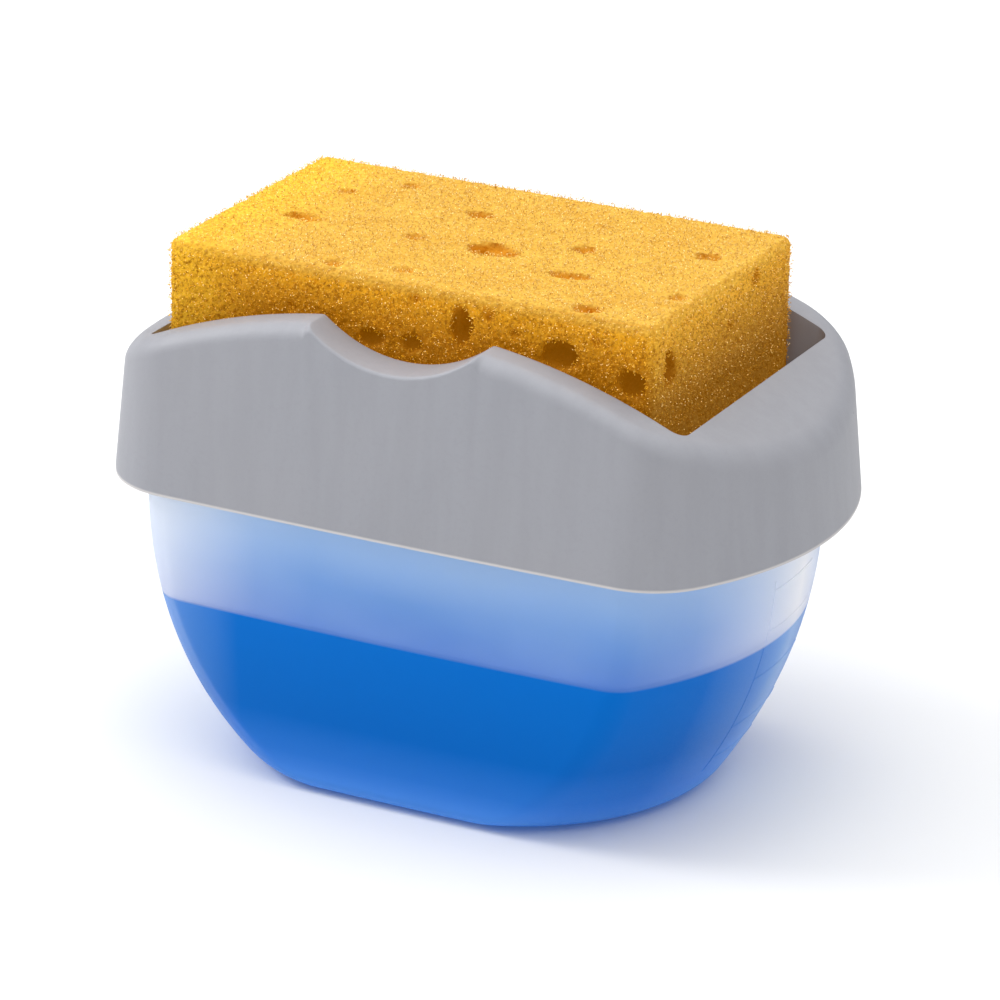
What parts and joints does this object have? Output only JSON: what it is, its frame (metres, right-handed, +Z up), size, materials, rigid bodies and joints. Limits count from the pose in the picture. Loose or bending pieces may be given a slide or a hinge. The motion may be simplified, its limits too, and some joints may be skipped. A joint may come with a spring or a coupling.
{
  "type": "soap dispenser with sponge holder",
  "caption": "Countertop press dispenser: a frosted soap reservoir under an arched sponge holder, whose sprung plate pumps soap up into the sponge.",
  "frame": {"origin": "on the table, under the middle of the base", "axes": "+X along the long side, -Y towards the front in the picture, +Z up"},
  "size_m": [0.16, 0.0968, 0.1148],
  "materials": {
    "frosted_plastic": "satin",
    "blue_soap": "gloss",
    "silicone": "matte",
    "grey_plastic": "matte",
    "pale_plastic": "satin",
    "spring_steel": "satin",
    "glass_ball": "gloss",
    "amber_foam": "matte"
  },
  "bodies": {
    "reservoir": {"reservoir": "frosted_plastic", "liquid_soap": "blue_soap", "pad_front_left": "silicone", "pad_front_right": "silicone", "pad_rear_left": "silicone", "pad_rear_right": "silicone", "rim_gasket": "silicone"},
    "cover": {"holder_cover": "grey_plastic", "pump_gasket": "silicone", "pump_housing": "pale_plastic", "pump_nut": "pale_plastic", "stem_guide": "pale_plastic", "ball_cage": "pale_plastic", "return_spring": "spring_steel", "dip_tube": "pale_plastic"},
    "plate": {"press_plate": "grey_plastic", "nozzle_cap": "pale_plastic", "outlet_valve": "silicone", "piston_stem": "pale_plastic", "piston_seal": "silicone"},
    "inlet_ball": {"inlet_ball": "glass_ball"},
    "sponge": {"sponge": "amber_foam"}
  },
  "joints": [
    {"name": "cover_lift", "type": "slide", "parent": "reservoir", "child": "cover", "axis": [0, 0, 1], "range_m": [0, 0.08]},
    {"name": "plate_press", "type": "slide", "parent": "cover", "child": "plate", "axis": [0, 0, -1], "range_m": [0, 0.007], "stiffness_N_per_m": 900, "springref_m": -0.004, "deforming": ["return_spring"]},
    {"name": "inlet_ball_lift", "type": "slide", "parent": "cover", "child": "inlet_ball", "axis": [0, 0, 1], "range_m": [0, 0.0012]},
    {"name": "sponge_lift", "type": "slide", "parent": "plate", "child": "sponge", "axis": [0, 0, 1], "range_m": [0, 0.035]}
  ]
}
